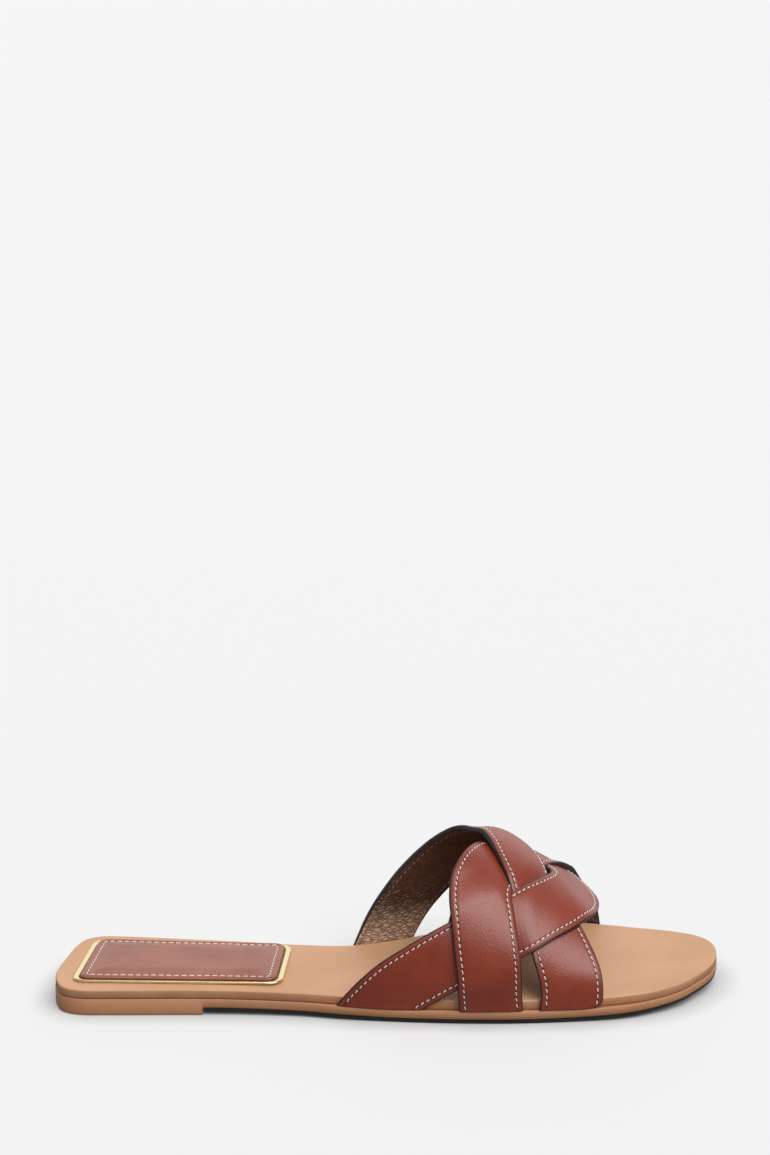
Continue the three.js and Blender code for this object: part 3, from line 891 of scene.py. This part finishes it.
plate_mesh(
    "outsole_slab",
    [
        (lambda x: ledge(x) - sole_edge - undercut(x), sole_bottom),
        (lambda x: ledge(x) - 0.5 * undercut(x), lambda x: sole_bottom(x) + 0.2 * outsole_layer),
        (lambda x: ledge(x) - 0.1 * undercut(x), lambda x: sole_bottom(x) + 0.5 * outsole_layer),
        (ledge, lambda x: outsole_top(x) - sole_edge),
        (lambda x: ledge(x) - sole_edge, outsole_top),
        (lambda x: ledge(x) - 4 * sole_edge, outsole_top),
    ],
    outsole_rubber,
    outsole_rubber,
    0,
    "outsole",
)


# Tread. A thin sheet of black rubber under the front of the sole.
rubber = Paint("tread_rubber")
at = rubber.place()
fine = rubber.noise(at, 0.8 * MM, 3)
tone = rubber.blend(fine, linear(26, 25, 25), linear(40, 38, 38))
tread_rubber = rubber.finish(tone, 0.75, fine, 0.08 * MM)
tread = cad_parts["tread"]
tread.data.materials.clear()
tread.data.materials.append(tread_rubber)


# Heel pad. A stuffed patch of the strap leather in a lighter shade, its edge turned under and stitched
# down with one row of thread all round. A polished pale gold wire frame lies round its foot.
frame_end_bar = 2.2 * MM
frame_side_bar = 1.3 * MM
frame_corner = 6 * MM
frame_height = 0.9 * MM
pad_height = 1.8 * MM
pad_swell = 0.7 * MM
pad_stitch_inset = 2.6 * MM
pad_stitch_pitch = 2.9 * MM
pad_stitch_length = 2.4 * MM
pad_channel = 0.22 * MM
pad_channel_reach = 0.5 * MM
turned_edge_height = 0.12 * MM
turned_edge_inset = 1.4 * MM
turned_edge_reach = 0.7 * MM
pad_wave_size = 8 * MM
pad_wave_height = 0.12 * MM
frame_corners = np.array([(0.029, -0.246), (0.340, -0.276), (0.350, 0.205), (0.045, 0.272)])


def panel(end_inset, side_inset, radius, per_corner=12, per_side=24):
    """Points round a four sided panel with round corners, drawn in from the corners of the frame."""
    corners = frame_corners * (shoe_length, ball_width)
    sides = []
    for i, corner in enumerate(corners):
        direction = unit(corners[(i + 1) % 4] - corner)
        inset = (side_inset, end_inset)[i % 2]
        sides.append((corner + inset * np.array([-direction[1], direction[0]]), direction))
    rows = []
    for i, (start, direction) in enumerate(sides):
        other_start, other = sides[(i + 1) % 4]
        across_both = direction[0] * other[1] - direction[1] * other[0]
        gap = other_start - start
        corner = start + direction * (gap[0] * other[1] - gap[1] * other[0]) / across_both
        for t in np.arange(per_corner) / per_corner:
            low, high = corner - direction * radius, corner + other * radius
            rows.append((1 - t) ** 2 * low + 2 * t * (1 - t) * corner + t * t * high)
        rows.append(corner + other * radius)
    points = []
    turn = per_corner + 1
    for i in range(4):
        points += rows[i * turn : (i + 1) * turn]
        start, end = rows[(i + 1) * turn - 1], rows[((i + 1) % 4) * turn]
        points += [start + (end - start) * t for t in np.arange(1, per_side) / per_side]
    return np.array(points)


def pad_ring(inset, height):
    """A level line round the pad, which keeps a seam's width clear of the frame."""
    corner = max(1 * MM, frame_corner - frame_side_bar - seam - inset)
    flat = panel(frame_end_bar + seam + inset, frame_side_bar + seam + inset, corner)
    return np.column_stack((flat, np.full(len(flat), height)))


pad_floor = float(insole_top(np.array([0.0]))[0]) + seam
bead_section = [
    (0.04, 0.0), (0.0, 0.35), (0.03, 0.6), (0.12, 0.82), (0.28, 0.96), (0.5, 1.0),
    (0.72, 0.96), (0.88, 0.82), (0.97, 0.6), (1.0, 0.35), (0.96, 0.0),
]
bead = []
for share, height in bead_section:
    contour = panel(share * frame_end_bar, share * frame_side_bar, frame_corner - share * frame_side_bar)
    bead.append(np.column_stack((contour, np.full(len(contour), pad_floor + height * frame_height))))
faces = side_faces(len(bead), len(bead[0]), closed=True)
gold_frame = add_mesh("pad_frame_bead", (np.array(bead) + to_frame).reshape(-1, 3), faces)
gold = Paint("pale_gold", metallic=1.0)
at = gold.place()
brushed = gold.noise(at, 6 * MM, 3)
tone = gold.blend(brushed, linear(244, 222, 164), linear(253, 236, 184))
pale_gold = gold.finish(tone, 0.18 + brushed * 0.12)
gold_frame.data.materials.append(pale_gold)
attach(gold_frame, "root")
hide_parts("pad_frame")

side_turns = [(0.9, 0.0), (0.35, 0.25), (0.1, 0.6), (0.0, 1.0), (0.1, 1.35), (0.3, 1.6), (0.6, 1.74)]
levels = [(inset * MM, pad_floor + height * MM) for inset, height in side_turns]
for inset in np.concatenate((np.arange(1.0, 4.0, 0.2), np.arange(4.0, 19.1, 1.0))) * MM:
    swell = pad_swell * smoothstep(inset, pad_stitch_inset, 9 * MM)
    turned_edge = turned_edge_height * hump(inset - turned_edge_inset, turned_edge_reach)
    channel = pad_channel * hump(inset - pad_stitch_inset, pad_channel_reach)
    levels.append((inset, pad_floor + pad_height + swell + turned_edge - channel))
rings = np.array([pad_ring(inset, height) for inset, height in levels])
rings[len(side_turns):, :, 2] += relief(rings[len(side_turns):], pad_wave_size, pad_wave_height, 3.0)
count, around = rings.shape[:2]
faces = [tuple(reversed(range(around))), tuple((count - 1) * around + i for i in range(around))]
faces += side_faces(count, around)
heel_pad = add_mesh("heel_pad_cushion", (rings + to_frame).reshape(-1, 3), faces)
soft = Paint("pad_leather", specular_ior_level=0.5)
at = soft.place()
patches = soft.noise(at, 16 * MM, 2)
pebble = soft.cells(at, 0.8 * MM, "SMOOTH_F1")
pores = soft.noise(at, 0.35 * MM, 2)
tone = soft.blend(patches.ramp(0.3, 0.7), linear(150, 88, 70), linear(166, 102, 82))
# Painted shade: the pad's side turns dark red-brown near its foot, in the crevice against the gold frame.
out_of_painted_shade = soft.part(at, 2).ramp(pad_floor + 0.4 * MM, pad_floor + 1.7 * MM)
tone = soft.blend(out_of_painted_shade, linear(92, 38, 26), tone)
pad_leather = soft.finish(tone, 0.38 + patches * 0.08, pebble * 0.7 + pores * 0.3, 0.04 * MM)
heel_pad.data.materials.append(pad_leather)
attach(heel_pad, "root")
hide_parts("heel_pad")
stitch_ring = int(np.argmin([abs(inset - pad_stitch_inset) for inset, _ in levels]))
upward = np.tile((0.0, 0.0, 1.0), (around, 1))
pad_row = [(rings[stitch_ring], upward)]
sew(
    "heel_pad_stitches",
    pad_row,
    white_thread,
    closed=True,
    wanted_pitch=pad_stitch_pitch,
    length=pad_stitch_length,
)
